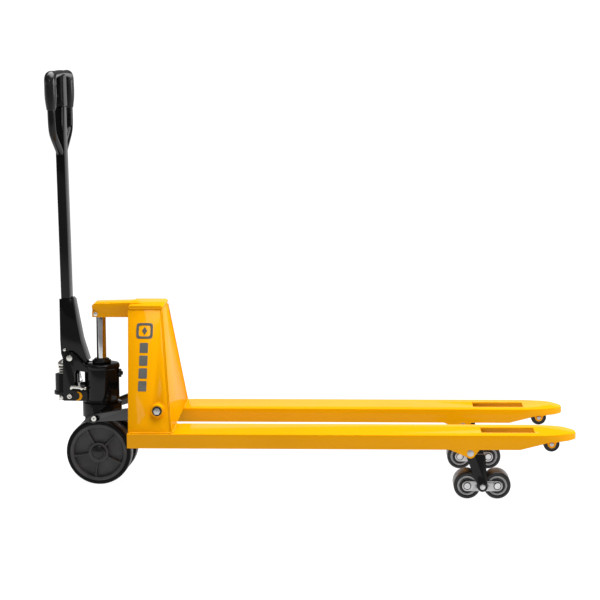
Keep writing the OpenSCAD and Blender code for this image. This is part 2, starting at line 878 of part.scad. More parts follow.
fork_right();
fork_left();
front_plate();
side_plate_right();
side_plate_left();
frame_head();
head_screw();
shaft_bosses();
shaft_bolts();
bracket_pins();
entry_pins();
entry_roller_right();
entry_roller_left();
piston_rod();
bearing_collar();
thrust_bearing();
pump_body();
gland_nut();
filler_plug();
pump_barrel();
valve_block();
cheek_right();
cheek_left();
valve_plugs();
release_cam();
handle_pin();
steering_axle();
wheel_core_right();
wheel_core_left();
tyre_right();
tyre_left();
hub_caps_right();
hub_caps_left();
plunger();
pump_spring();
release_lever();
release_chain();
handle_base();
base_bolts();
handle_stem();
handle_loop();
grips();
head_housing();
control_lever();
press_roller();
press_pin();
rocker_arms();
torsion_tube();
push_rod_right();
push_rod_left();
roller_bracket_right();
roller_bracket_left();
bogie_pins_right();
bogie_pins_left();
bogie_right();
bogie_left();
roller_front_right();
roller_rear_right();
roller_front_left();
roller_rear_left();
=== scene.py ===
"""Looks of a hand pallet jack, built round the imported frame. Metres, row frame."""
import bpy
import bmesh
import json
import math
from mathutils import Matrix, Vector

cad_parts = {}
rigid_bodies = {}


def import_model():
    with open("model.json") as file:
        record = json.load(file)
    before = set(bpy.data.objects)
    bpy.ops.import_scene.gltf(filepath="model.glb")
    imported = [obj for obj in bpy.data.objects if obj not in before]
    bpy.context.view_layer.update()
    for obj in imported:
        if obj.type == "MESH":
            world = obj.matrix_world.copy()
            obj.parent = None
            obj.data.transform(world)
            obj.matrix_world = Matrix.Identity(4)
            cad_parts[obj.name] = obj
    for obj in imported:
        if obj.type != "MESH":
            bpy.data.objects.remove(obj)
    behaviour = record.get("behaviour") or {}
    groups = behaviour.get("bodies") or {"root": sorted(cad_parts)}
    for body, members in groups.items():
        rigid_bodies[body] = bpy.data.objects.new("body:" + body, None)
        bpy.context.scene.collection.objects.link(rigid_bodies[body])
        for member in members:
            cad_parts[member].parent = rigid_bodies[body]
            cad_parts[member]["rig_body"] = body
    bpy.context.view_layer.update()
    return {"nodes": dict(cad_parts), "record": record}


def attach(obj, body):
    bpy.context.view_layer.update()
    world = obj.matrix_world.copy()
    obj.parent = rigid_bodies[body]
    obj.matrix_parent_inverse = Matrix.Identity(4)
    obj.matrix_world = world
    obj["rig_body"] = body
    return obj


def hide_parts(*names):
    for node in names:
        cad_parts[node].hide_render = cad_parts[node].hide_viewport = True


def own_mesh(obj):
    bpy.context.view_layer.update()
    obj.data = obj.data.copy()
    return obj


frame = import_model()
NODES = frame["nodes"]
SLOT = {s["node"]: s["material_slot"] for s in frame["record"]["subparts"]}

# Places in mm from the drawing's zero, as the CAD part has them: x forward, z up from the floor.
AXIS_X = -0.644325  # that zero in the row frame, in metres
STEER_X = 4.0  # steering axis
STEER_REST = math.radians(-3)  # turn of the steering unit at rest
WHEEL_Y, WHEEL_Z = 52.5, 100.0  # middle of a steering wheel
PLUNGER_X = -106.0
STEM_X, STEM_Z = -100.4, 590.0  # foot of the leaning stem
LEAN = math.radians(0.95)
GRIP_Y = 128.0
TRUNNION_X, TRUNNION_Z = -9.0, 210.0  # pins that carry the collar
SHAFT_X, SHAFT_Z = 199.4, 263.2  # rocker shaft
FORK_C = 195.0  # middle of a fork
BRACKET_X, BRACKET_LEN, BRACKET_ANGLE = 1120.7, 113.65, math.radians(70.3)
BOGIE_X = BRACKET_X + BRACKET_LEN * math.cos(BRACKET_ANGLE)
BOGIE_Z, HALF_PITCH = 40.0, 44.5  # bogie pin height, and half the distance between its rollers
ENTRY_X, ENTRY_Z = 1362.0, 165.0
FORK_TOP = 200.0
PLATE_FOOT_Y, PLATE_RUN, PLATE_RISE = 262.0, 182.0, 345.0  # side plate: foot, lean inwards, height


def at(x, y, z):
    """A point given in mm from the drawing's zero, as metres in the row frame."""
    return Vector((x / 1000 + AXIS_X, y / 1000, z / 1000))


# the steering unit is drawn straight, then turned to its rest angle about the steering axis
TURN = (Matrix.Translation(at(STEER_X, 0, 0)) @ Matrix.Rotation(STEER_REST, 4, "Z")
        @ Matrix.Translation(-at(STEER_X, 0, 0)))
STEERED = {"pump_unit", "wheel_right", "wheel_left", "plunger", "release_lever", "release_chain", "handle",
           "control_lever", "press_roller"}


# ---------------------------------------------------------------- materials

def new_mat(name):
    m = bpy.data.materials.new(name)
    m.use_nodes = True
    nt = m.node_tree
    nt.nodes.clear()
    out = nt.nodes.new("ShaderNodeOutputMaterial")
    sh = nt.nodes.new("ShaderNodeBsdfPrincipled")
    nt.links.new(sh.outputs["BSDF"], out.inputs["Surface"])
    return m, nt, sh


def noise(nt, scale, detail=4.0, stretch=(1, 1, 1), rough=0.5):
    tc = nt.nodes.new("ShaderNodeTexCoord")
    mp = nt.nodes.new("ShaderNodeMapping")
    mp.inputs["Scale"].default_value = stretch
    n = nt.nodes.new("ShaderNodeTexNoise")
    n.inputs["Scale"].default_value = scale
    n.inputs["Detail"].default_value = detail
    n.inputs["Roughness"].default_value = rough
    nt.links.new(tc.outputs["Object"], mp.inputs["Vector"])
    nt.links.new(mp.outputs["Vector"], n.inputs["Vector"])
    return n.outputs["Fac"]


def ramp(nt, fac, stops):
    r = nt.nodes.new("ShaderNodeValToRGB")
    el = r.color_ramp.elements
    while len(el) < len(stops):
        el.new(0.5)
    for e, (p, c) in zip(el, stops):
        e.position = p
        e.color = (*c, 1) if len(c) == 3 else c
    nt.links.new(fac, r.inputs["Fac"])
    return r.outputs["Color"]


def grey(v):
    return (v, v, v)


def add_bump(nt, sh, layers):
    """layers: (height output, strength, distance in metres), chained."""
    prev = None
    for h, strength, dist in layers:
        b = nt.nodes.new("ShaderNodeBump")
        b.inputs["Strength"].default_value = strength
        b.inputs["Distance"].default_value = dist
        nt.links.new(h, b.inputs["Height"])
        if prev is not None:
            nt.links.new(prev, b.inputs["Normal"])
        prev = b.outputs["Normal"]
    nt.links.new(prev, sh.inputs["Normal"])


def paint(name, low, high, rough, coat=0.0, chips=None, spec=0.5):
    """Sprayed enamel: faint orange peel, colour drift, cleaner and duller patches, small chips."""
    m, nt, sh = new_mat(name)
    drift = noise(nt, 3.0, 3)
    col = ramp(nt, drift, [(0.3, low), (0.7, high)])
    if chips is not None:
        spots = noise(nt, 95.0, 5, rough=0.7)
        where = noise(nt, 9.0, 2)
        mul = nt.nodes.new("ShaderNodeMath")
        mul.operation = "MULTIPLY"
        nt.links.new(spots, mul.inputs[0])
        nt.links.new(where, mul.inputs[1])
        mask = ramp(nt, mul.outputs[0], [(0.50, grey(0)), (0.515, grey(1))])
        mix = nt.nodes.new("ShaderNodeMix")
        mix.data_type = "RGBA"
        nt.links.new(mask, mix.inputs["Factor"])
        nt.links.new(col, mix.inputs["A"])
        mix.inputs["B"].default_value = (*chips, 1)
        col = mix.outputs["Result"]
    nt.links.new(col, sh.inputs["Base Color"])
    smear = noise(nt, 14.0, 6, (1, 1, 3), 0.6)
    patches = ramp(nt, smear, [(0.3, grey(rough * 0.8)), (0.75, grey(rough * 1.35))])
    nt.links.new(patches, sh.inputs["Roughness"])
    sh.inputs["Specular IOR Level"].default_value = spec
    sh.inputs["Coat Weight"].default_value = coat
    sh.inputs["Coat Roughness"].default_value = 0.08
    peel = noise(nt, 420.0, 2)
    wave = noise(nt, 60.0, 2)
    add_bump(nt, sh, [(peel, 0.10, 0.00025), (wave, 0.12, 0.0006)])
    return m


def metal(name, low, high, rough, stretch=(1, 1, 1), line=0.25):
    """Bare or plated metal with fine machining lines and handling marks."""
    m, nt, sh = new_mat(name)
    tone = noise(nt, 40.0, 5, stretch)
    nt.links.new(ramp(nt, tone, [(0.3, low), (0.7, high)]), sh.inputs["Base Color"])
    sh.inputs["Metallic"].default_value = 1.0
    marks = noise(nt, 160.0, 4, stretch, 0.65)
    worn = ramp(nt, marks, [(0.3, grey(rough * 0.7)), (0.75, grey(rough * 1.5))])
    nt.links.new(worn, sh.inputs["Roughness"])
    add_bump(nt, sh, [(marks, line, 0.00012)])
    return m


def moulded(name, low, high, rough, grain=600.0, strength=0.2, spec=0.5):
    """Moulded plastic or rubber with a fine leathery grain and scuffs."""
    m, nt, sh = new_mat(name)
    tone = noise(nt, 22.0, 4)
    nt.links.new(ramp(nt, tone, [(0.3, low), (0.72, high)]), sh.inputs["Base Color"])
    scuff = noise(nt, 75.0, 6, (1, 1, 1), 0.7)
    rubbed = ramp(nt, scuff, [(0.35, grey(rough * 0.85)), (0.7, grey(min(1, rough * 1.25)))])
    nt.links.new(rubbed, sh.inputs["Roughness"])
    sh.inputs["Specular IOR Level"].default_value = spec
    add_bump(nt, sh, [(noise(nt, grain, 2), strength, 0.00025), (scuff, 0.1, 0.0003)])
    return m


MAT = {
    "orange_paint": paint("orange_enamel", (0.80, 0.335, 0.0006), (0.86, 0.365, 0.0010),
                          0.34, 0.18, (0.50, 0.17, 0.002), 0.0),
    "black_paint": paint("black_enamel", (0.0035, 0.0035, 0.004), (0.006, 0.006, 0.0062),
                         0.24, 0.42, (0.03, 0.03, 0.03), 0.0),
    "steel": metal("machined_steel", (0.40, 0.40, 0.40), (0.56, 0.56, 0.56), 0.34, (1, 9, 1)),
    "bright_steel": metal("turned_steel", (0.55, 0.55, 0.56), (0.72, 0.72, 0.73),
                          0.36, (1, 1, 1), 0.15),
    "dull_steel": metal("worn_steel", (0.24, 0.24, 0.245), (0.36, 0.36, 0.365), 0.42, (1, 1, 1), 0.2),
    "chrome": metal("hard_chrome", (0.50, 0.50, 0.51), (0.60, 0.60, 0.61), 0.09, (1, 1, 14), 0.05),
    "zinc": metal("zinc_plate", (0.60, 0.59, 0.54), (0.76, 0.75, 0.71), 0.30, (1, 1, 1), 0.2),
    "nylon_core": moulded("nylon_core", (0.034, 0.034, 0.035), (0.062, 0.062, 0.063),
                          0.48, 350, 0.25, 0.25),
    "nylon_tread": moulded("wheel_tread", (0.003, 0.003, 0.0033), (0.006, 0.006, 0.0063),
                           0.34, 260, 0.12, 0.08),
    "roller_nylon": moulded("roller_nylon", (0.006, 0.006, 0.007), (0.013, 0.013, 0.014),
                            0.33, 300, 0.12, 0.4),
    "black_plastic": moulded("head_plastic", (0.004, 0.004, 0.0045), (0.008, 0.008, 0.0085),
                             0.26, 900, 0.12, 0.5),
    # painted shade: a darker, less glossy copy of the head plastic, so the column's faces read near black
    # beside the lit arch
    "head_plastic_shaded": moulded("head_column", (0.002, 0.002, 0.002), (0.004, 0.004, 0.004),
                         0.42, 900, 0.12, 0.12),
    "hub_gloss": moulded("hub_cap_gloss", (0.006, 0.006, 0.0065), (0.012, 0.012, 0.0125),
                         0.18, 500, 0.05, 0.32),
    # a lighter copy of the black enamel for the rocker arms: its paler colour is painted highlight, its coat
    # is real gloss
    "arm_paint_lit": paint("arm_enamel_lit", (0.010, 0.010, 0.010), (0.018, 0.018, 0.018),
                       0.26, 0.6, (0.05, 0.05, 0.05), 0.2),
    "grip_rubber": moulded("grip_rubber", (0.003, 0.003, 0.003), (0.007, 0.007, 0.007),
                           0.30, 900, 0.2, 0.35),
    "spring_steel": metal("spring_wire", (0.42, 0.41, 0.36), (0.60, 0.58, 0.52), 0.28, (1, 1, 1), 0.1),
    "badge_grey": moulded("badge_print", (0.085, 0.085, 0.075), (0.12, 0.12, 0.105),
                          0.55, 500, 0.1, 0.3),
}


# ---------------------------------------------------------------- mesh helpers

def link(ob):
    bpy.context.scene.collection.objects.link(ob)
    return ob


def set_mat(ob, mat):
    ob.data.materials.clear()
    ob.data.materials.append(mat)
    return ob


def finish_mesh(ob, angle=35):
    me = ob.data
    for p in me.polygons:
        p.use_smooth = True
    me.set_sharp_from_angle(angle=math.radians(angle))
    return ob


def apply_mods(ob):
    dg = bpy.context.evaluated_depsgraph_get()
    me = bpy.data.meshes.new_from_object(ob.evaluated_get(dg))
    ob.modifiers.clear()
    ob.data = me
    return ob


def soften(node, width, seg):
    """The CAD node's own shape with its sharp edges rounded over."""
    src = NODES[node]
    me = src.data.copy()
    ob = link(bpy.data.objects.new("v_" + node, me))
    bm = bmesh.new()
    bm.from_mesh(me)
    bmesh.ops.remove_doubles(bm, verts=bm.verts, dist=2e-6)
    bmesh.ops.dissolve_limit(bm, angle_limit=math.radians(0.5), verts=bm.verts, edges=bm.edges)
    bm.to_mesh(me)
    bm.free()
    mod = ob.modifiers.new("edge", "BEVEL")
    mod.width = width
    mod.segments = seg
    mod.limit_method = "ANGLE"
    mod.angle_limit = math.radians(32)
    mod.use_clamp_overlap = True
    apply_mods(ob)
    finish_mesh(ob, 40)
    set_mat(ob, MAT[SLOT[node]])
    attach(ob, src["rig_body"])
    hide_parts(node)
    return ob


def mesh_object(name, bm, mat, body, replaces=(), angle=35):
    me = bpy.data.meshes.new(name)
    bmesh.ops.recalc_face_normals(bm, faces=bm.faces)
    bm.to_mesh(me)
    bm.free()
    if body in STEERED:
        me.transform(TURN)
    ob = link(bpy.data.objects.new(name, me))
    finish_mesh(ob, angle)
    set_mat(ob, mat)
    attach(ob, body)
    if replaces:
        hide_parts(*replaces)
    return ob


def revolve(bm, profile, centre, axis, n=96, closed=True):
    """Turns a profile of (radius, height along axis) round an axis through centre."""
    axis = Vector(axis).normalized()
    u = axis.orthogonal().normalized()
    v = axis.cross(u)
    rings = []
    for r, h in profile:
        if r < 1e-7:
            rings.append([bm.verts.new(centre + axis * h)])
        else:
            rings.append([bm.verts.new(centre + axis * h + (u * math.cos(t) + v * math.sin(t)) * r)
                          for t in (2 * math.pi * i / n for i in range(n))])
    pairs = list(zip(rings, rings[1:]))
    if closed:
        pairs.append((rings[-1], rings[0]))
    for a, b in pairs:
        if len(a) == 1 and len(b) == 1:
            continue
        for i in range(n):
            j = (i + 1) % n
            if len(a) == 1:
                bm.faces.new((a[0], b[i], b[j]))
            elif len(b) == 1:
                bm.faces.new((a[i], b[0], a[j]))
            else:
                bm.faces.new((a[i], b[i], b[j], a[j]))


def sweep(bm, path, radius, n=20, cap=True, flat=None):
    """A tube along a list of points; radius is a number or one per point."""
    m = len(path)
    rad = radius if isinstance(radius, (list, tuple)) else [radius] * m
    tan = [(path[min(i + 1, m - 1)] - path[max(i - 1, 0)]).normalized() for i in range(m)]
    if flat is None:
        u = tan[0].orthogonal().normalized()
    else:
        u = (flat - tan[0] * flat.dot(tan[0])).normalized()
    rings = []
    for i in range(m):
        u = (u - tan[i] * u.dot(tan[i])).normalized()
        v = tan[i].cross(u)
        r = rad[i]
        ru, rv = r if isinstance(r, tuple) else (r, r)
        rings.append([bm.verts.new(path[i] + u * (ru * math.cos(t)) + v * (rv * math.sin(t)))
                      for t in (2 * math.pi * k / n for k in range(n))])
    for a, b in zip(rings, rings[1:]):
        for i in range(n):
            j = (i + 1) % n
            bm.faces.new((a[i], a[j], b[j], b[i]))
    if cap:
        bm.faces.new(list(reversed(rings[0])))
        bm.faces.new(rings[-1])


def smooth_path(pts, steps=8):
    """Catmull-Rom through the points."""
    out = []
    p = [pts[0] * 2 - pts[1]] + list(pts) + [pts[-1] * 2 - pts[-2]]
    for i in range(1, len(p) - 2):
        for k in range(steps):
            t = k / steps
            a, b, c, d = p[i - 1], p[i], p[i + 1], p[i + 2]
            out.append(0.5 * ((2 * b) + (c - a) * t + (2 * a - 5 * b + 4 * c - d) * t * t
                              + (3 * b - a - 3 * c + d) * t ** 3))
    out.append(pts[-1])
    return out


def loft(bm, rings):
    """A skin over rings of points, closed at both ends."""
    rows = [[bm.verts.new(p) for p in ring] for ring in rings]
    n = len(rows[0])
    for a, b in zip(rows, rows[1:]):
        for i in range(n):
            j = (i + 1) % n
            bm.faces.new((a[i], a[j], b[j], b[i]))
    bm.faces.new(list(reversed(rows[0])))
    bm.faces.new(rows[-1])


def superellipse(rx, ry, n=40, p=4.0):
    """A rounded rectangle as points; a higher p makes its corners squarer."""
    out = []
    for k in range(n):
        t = 2 * math.pi * k / n
        c, d = math.cos(t), math.sin(t)
        out.append((rx * math.copysign(abs(c) ** (2 / p), c), ry * math.copysign(abs(d) ** (2 / p), d)))
    return out


# ---------------------------------------------------------------- CAD shapes with rounded edges

EDGE = {
    "fork_right": 0.0022, "fork_left": 0.0022, "front_plate": 0.0012, "side_plate_right": 0.0012,
    "side_plate_left": 0.0012, "frame_head": 0.003, "pump_body": 0.002, "gland_nut": 0.0015,
    "pump_barrel": 0.002, "valve_block": 0.002, "cheek_right": 0.0012, "cheek_left": 0.0012,
    "handle_base": 0.0012, "handle_stem": 0.0018, "rocker_arms": 0.0015, "roller_bracket_right": 0.0015,
    "roller_bracket_left": 0.0015, "bogie_right": 0.001, "bogie_left": 0.001, "bearing_collar": 0.002,
    "shaft_bosses": 0.0015, "shaft_bolts": 0.001,
}
OWN = {
    "wheel_core_right", "wheel_core_left", "tyre_right", "tyre_left", "hub_caps_right", "hub_caps_left",
    "roller_front_right", "roller_rear_right", "roller_front_left", "roller_rear_left", "entry_roller_right",
    "entry_roller_left", "handle_loop", "grips", "head_housing", "pump_spring", "plunger", "release_chain",
}
# materials that differ from the slot's: the thrust bearing is drawn in black paint, and the rocker arms in a
# lighter black enamel whose paler colour is painted highlight
FINISH = {"thrust_bearing": "black_paint", "rocker_arms": "arm_paint_lit"}
for _node in NODES:
    if _node in OWN:
        continue
    piece = soften(_node, EDGE.get(_node, 0.0006), 3 if EDGE.get(_node, 0) >= 0.002 else 2)
    if _node in FINISH:
        set_mat(piece, MAT[FINISH[_node]])


# ---------------------------------------------------------------- wheels and rollers

def mm_profile(pts):
    return [(r / 1000, h / 1000) for r, h in pts]


def two_sided(half):
    """A profile and its mirror image in the middle plane."""
    return mm_profile(half + [(r, -h) for r, h in reversed(half)])


def steering_wheel(side, s):
    """Core with a recessed, ribbed web, and a tyre with rounded shoulders. s is -1 on the right."""
    body = "wheel_" + side
    mid = at(STEER_X, s * WHEEL_Y, WHEEL_Z)
    ax = (0, s, 0)
    bm = bmesh.new()
    revolve(bm, two_sided([
        (10.1, 25), (28, 25), (30, 24), (30.5, 22), (31, 12), (33, 10), (72, 10), (74.5, 11.5), (76, 14),
        (76.5, 22.5), (78, 24.5), (80, 25), (86, 25), (87.4, 24), (87.9, 22)]), mid, ax, 128)
    for face in (1, -1):
        for i in range(5):
            a = math.radians(46 + 72 * i)
            rib(bm, mid, s * face, a)
    core = "wheel_core_" + side
    mesh_object("v_" + core, bm, MAT["nylon_core"], body, [core], 30)
    bm = bmesh.new()
    revolve(bm, two_sided([
        (88, 24.5), (92, 24.8), (96, 24), (98.6, 21.5), (99.7, 18), (100, 13)]), mid, ax, 128)
    mesh_object(f"v_tyre_{side}", bm, MAT["nylon_tread"], body, ["tyre_" + side], 25)
    bm = bmesh.new()
    revolve(bm, mm_profile([
        (11.1, 25.0), (22.5, 25.0), (23, 25.6), (23, 28), (22.3, 29.4), (20.5, 30.4), (17.5, 31.0),
        (16.8, 30.3), (16.2, 30.3), (15.4, 31.2), (10, 32.8), (5, 33.7), (0, 34), (0, 28.5),
        (11.1, 28.5)]),
        mid, ax, 72)
    mesh_object(f"v_hub_cap_{side}", bm, MAT["hub_gloss"], body, ["hub_caps_" + side], 30)


def rib(bm, mid, face, a):
    """One thin rounded rib across the web recess, at angle a."""
    er = Vector((math.cos(a), 0, math.sin(a)))
    et = Vector((-math.sin(a), 0, math.cos(a)))
    ey = Vector((0, face, 0))
    rows = []
    for r in (29.5, 40, 52, 64, 76.8):
        flare = 1 + 1.2 * max(0, (abs(r - 53) - 17) / 24)
        row = []
        for t, h in ((-3.4, 9.5), (-2.5, 12), (-2.2, 20.5), (-1.2, 21.6), (1.2, 21.6), (2.2, 20.5), (2.5, 12),
                     (3.4, 9.5)):
            row.append(bm.verts.new(mid + (er * r + et * (t * flare) + ey * h) / 1000))
        rows.append(row)
    for p, q in zip(rows, rows[1:]):
        for i in range(len(p) - 1):
            bm.faces.new((p[i], p[i + 1], q[i + 1], q[i]))
        bm.faces.new((p[-1], p[0], q[0], q[-1]))
    bm.faces.new(rows[0])
    bm.faces.new(list(reversed(rows[-1])))


steering_wheel("right", -1)
steering_wheel("left", 1)


def load_roller(name, s, e):
    """Tyre with a steel rim ring and a sealed bearing in each face."""
    c = at(BOGIE_X + e * HALF_PITCH, s * FORK_C, BOGIE_Z)
    bm = bmesh.new()
    revolve(bm, two_sided([
        (20.5, 30), (30.6, 31.0), (30.9, 33.6), (31.6, 34.6), (33, 35), (36.6, 35), (38.6, 34.3),
        (39.7, 32.6), (40, 30.5)]), c, (0, 1, 0), 96)
    mesh_object("v_" + name, bm, MAT["roller_nylon"], name, [name], 25)
    for face, tag in ((1, "a"), (-1, "b")):
        bm = bmesh.new()
        revolve(bm, mm_profile([
            (22.8, 30.2), (22.8, 33.2), (23.3, 34.0), (24.0, 34.3), (25.0, 34.3), (25.4, 33.9), (25.9, 33.9),
            (26.3, 34.3), (28.6, 34.3), (29.3, 33.8), (29.6, 33), (29.6, 30.2)]), c, (0, face, 0), 80)
        mesh_object(f"v_rim_{name}_{tag}", bm, MAT["dull_steel"], name, (), 25)
        bm = bmesh.new()
        revolve(bm, mm_profile([
            (7.2, 30.2), (7.2, 33), (7.8, 33.6), (11.2, 33.6), (11.8, 33), (12.1, 31.8), (22.2, 31.8),
            (22.6, 31.2), (22.6, 30.2)]), c, (0, face, 0), 72)
        mesh_object(f"v_bearing_{name}_{tag}", bm, MAT["roller_nylon"], name, (), 25)


for _side, _s in (("right", -1), ("left", 1)):
    for _w, _e in (("front", 1), ("rear", -1)):
        load_roller(f"roller_{_w}_{_side}", _s, _e)


def link_nuts(side, s):
    """A dark washer and a bright bolt head on each end of the two roller axles."""
    washers, heads = bmesh.new(), bmesh.new()
    for e in (1, -1):
        c = at(BOGIE_X + e * HALF_PITCH, s * FORK_C, BOGIE_Z)
        for face in (1, -1):
            revolve(washers, mm_profile([(7.1, 41.8), (11.6, 41.8), (11.6, 42.4), (11.2, 42.7), (7.1, 42.7)]),
                    c, (0, face, 0), 48)
            revolve(heads, mm_profile([
                (0, 42.2), (9.2, 42.2), (9.2, 43.1), (8.7, 43.6), (4.2, 43.6), (3.6, 43.2), (0, 43.2)]),
                c, (0, face, 0), 48, False)
    body = "bogie_" + side
    mesh_object("v_link_washers_" + side, washers, MAT["black_paint"], body, (), 25)
    mesh_object("v_link_heads_" + side, heads, MAT["bright_steel"], body, (), 25)


link_nuts("right", -1)
link_nuts("left", 1)


def entry_roller(side, s):
    c = at(ENTRY_X, s * FORK_C, ENTRY_Z)
    bm = bmesh.new()
    revolve(bm, two_sided([
        (6.3, 27.6), (11, 27.6), (11.6, 27), (12.4, 26.2), (19.2, 26.2), (19.8, 27), (20.4, 27.7),
        (22.2, 27.6), (23.4, 26.6), (23.9, 25)]), c, (0, 1, 0), 72)
    name = "entry_roller_" + side
    mesh_object("v_" + name, bm, MAT["roller_nylon"], name, [name], 25)


entry_roller("right", -1)
entry_roller("left", 1)


# ---------------------------------------------------------------- handle head

def lean(x, y, z):
    """A point in the stem's leaning frame, in mm: z runs up from the stem's foot."""
    return at(STEM_X + x * math.cos(LEAN) - z * math.sin(LEAN), y,
              STEM_Z + z * math.cos(LEAN) + x * math.sin(LEAN))


UPZ = (lean(0, 0, 100) - lean(0, 0, 0)).normalized()

def handle_loop():
    """Two bent tubes from the stem out to the grips and over the top."""
    bm = bmesh.new()
    for s in (-1, 1):
        route = [(24, 420), (50, 437), (80, 456), (103, 472), (117, 486), (124, 504), (127, 526),
                 (GRIP_Y, 552), (GRIP_Y, 600), (GRIP_Y, 628), (126, 640), (117, 648), (97, 651),
                 (68, 653), (35, 655)]
        sweep(bm, smooth_path([lean(0, s * y, z) for y, z in route], 6), 0.0112, 24)
    mesh_object("v_handle_loop", bm, MAT["black_paint"], "handle", ["handle_loop"], 40)


def grips():
    bm = bmesh.new()
    for s in (-1, 1):
        revolve(bm, mm_profile([
            (11.6, -9), (12.4, -9), (13.2, -8.2), (13.6, -6), (14.0, -2), (14.6, 2), (15.5, 8), (16.5, 16),
            (17.4, 26), (17.9, 37), (17.9, 48), (17.8, 58), (17.6, 64), (17.2, 66.6), (11.6, 66.8)]),
            lean(0, s * GRIP_Y, 561), UPZ, 64)
    mesh_object("v_grips", bm, MAT["grip_rubber"], "handle", ["grips"], 40)


def head_column():
    """One moulded block, narrower at its foot and crowned on top."""
    bm = bmesh.new()
    sections = [(559, 14.2, 26), (561, 15.2, 28.5), (566, 15.8, 31), (578, 15.8, 32.6), (600, 15.6, 33),
                (622, 15.6, 33.6), (640, 15.8, 33.8), (652, 15.2, 33.4), (660, 13.2, 31.5), (665, 10.2, 28),
                (667.5, 6, 22)]
    loft(bm, [[lean(x, y, z) for x, y in superellipse(rx, ry)] for z, rx, ry in sections])
    # the column takes the darker copy of the head plastic: painted shade
    mesh_object("v_head", bm, MAT["head_plastic_shaded"], "handle", ["head_housing"], 40)


def head_strip():
    """The stem's front face carried on up the head column as a flat cover strip."""
    bm = bmesh.new()
    loft(bm, [[lean(15.0 + x, y, z) for x, y in superellipse(k * 2.3, k * 24.5)]
              for z, k in ((560, 0.8), (561.5, 1), (600, 1), (640, 1), (652, 0.9), (655, 0.6))])
    mesh_object("v_head_strip", bm, MAT["black_paint"], "handle", (), 40)


def head_arch():
    """Top of the loop: a flat moulded arch that turns down over each grip."""
    bm = bmesh.new()
    half = [(GRIP_Y, 626), (GRIP_Y, 632), (127.4, 638), (125.2, 644), (120.5, 649), (113, 652.2), (99, 654),
            (80, 655), (57, 656), (28, 656.9)]
    arch = [(-y, z) for y, z in half] + [(0, 657.3)] + list(reversed(half))
    path = smooth_path([lean(0, y, z) for y, z in arch], 3)
    radii = []
    for q in path:
        w = min(1.0, abs(q.y) * 1000 / GRIP_Y)
        radii.append((0.0150 + 0.0029 * w ** 3, 0.0108 + 0.0070 * w ** 4))
    sweep(bm, path, radii, 36, True, Vector((1, 0, 0)))
    mesh_object("v_head_bar", bm, MAT["black_plastic"], "handle", (), 50)


handle_loop()
grips()
head_column()
head_strip()
head_arch()


# ---------------------------------------------------------------- spring, plunger, chain

SPRING_FOOT = 330.4


def pump_spring():
    """Return spring with flat ends, drawn at one length on its own mesh copy; the real spring shortens as the
    plunger goes down.
    """
    bm = bmesh.new()
    turns, per, rise = 3.6, 40, 20.6
    steps = turns * per
    pts = []
    for i in range(int(steps) + 1):
        t = 2 * math.pi * i / per
        climb = min(1, max(0, (i / steps - 0.14) / 0.72))
        pts.append(at(PLUNGER_X + 23 * math.cos(t), 23 * math.sin(t), SPRING_FOOT + 2.6 + rise * climb))
    sweep(bm, pts, 0.0025, 16)
    spring = mesh_object("v_pump_spring", bm, MAT["spring_steel"], "pump_unit",
                         ["pump_spring"], 60)
    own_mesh(spring)


def plunger():
    bm = bmesh.new()
    revolve(bm, mm_profile([
        (0, 303), (10, 303), (11, 304), (11, 356), (26.8, 356.9), (27.8, 357.6), (28, 358.6), (28, 362),
        (27.4, 364), (25.6, 366.6), (22.4, 369.6), (18.4, 372.6), (14, 375), (8, 376.6), (0, 377.1)]),
        at(PLUNGER_X, 0, 0), (0, 0, 1), 96)
    mesh_object("v_plunger", bm, MAT["zinc"], "plunger", ["plunger"], 30)


def body_lip():
    """Rounded lip round the top of the pump body."""
    bm = bmesh.new()
    revolve(bm, mm_profile([
        (51.5, 349), (53.4, 349.4), (54.6, 351), (55, 353), (55, 359), (54.2, 361.6), (52.6, 363.4),
        (50, 364.4), (49, 363)]), at(STEER_X, 0, 0), (0, 0, 1), 96)
    mesh_object("v_body_lip", bm, MAT["black_paint"], "pump_unit", (), 40)


def torus_link(bm, c, d, side):
    """One oval chain link centred on c, along d, lying in the plane of d and side."""
    long, wide, wire = 4.3, 1.9, 0.75
    pts = []
    for k in range(28):
        t = 2 * math.pi * k / 28
        pts.append(c + (d * (long * math.cos(t)) + side * (wide * math.sin(t))) / 1000)
    m = len(pts)
    rings = []
    nrm = d.cross(side).normalized()
    for i in range(m):
        tan = (pts[(i + 1) % m] - pts[i - 1]).normalized()
        v = tan.cross(nrm).normalized()
        rings.append([bm.verts.new(pts[i] + (nrm * math.cos(a) + v * math.sin(a)) * (wire / 1000))
                      for a in (2 * math.pi * q / 10 for q in range(10))])
    for i in range(m):
        a, b = rings[i], rings[(i + 1) % m]
        for q in range(10):
            w = (q + 1) % 10
            bm.faces.new((a[q], a[w], b[w], b[q]))


def release_chain():
    """Links in turn flat and on edge, from the release lever up through the handle pin."""
    bm = bmesh.new()
    route = [at(-60.5, 0, 316), at(-72, 0, 368), at(-85.2, 0, 375), at(-85.2, 0, 391.5)]
    pitch = 0.0066
    flat = Vector((0, 1, 0))
    links = 0
    for a, b in zip(route, route[1:]):
        d = (b - a).normalized()
        count = max(1, int((b - a).length / pitch))
        for i in range(count):
            c = a + d * ((b - a).length * (i + 0.5) / count)
            torus_link(bm, c, d, flat if links % 2 else d.cross(flat).normalized())
            links += 1
    mesh_object("v_release_chain", bm, MAT["steel"], "release_chain", ["release_chain"], 60)


pump_spring()
plunger()
body_lip()
release_chain()


# ---------------------------------------------------------------- weld beads and badge

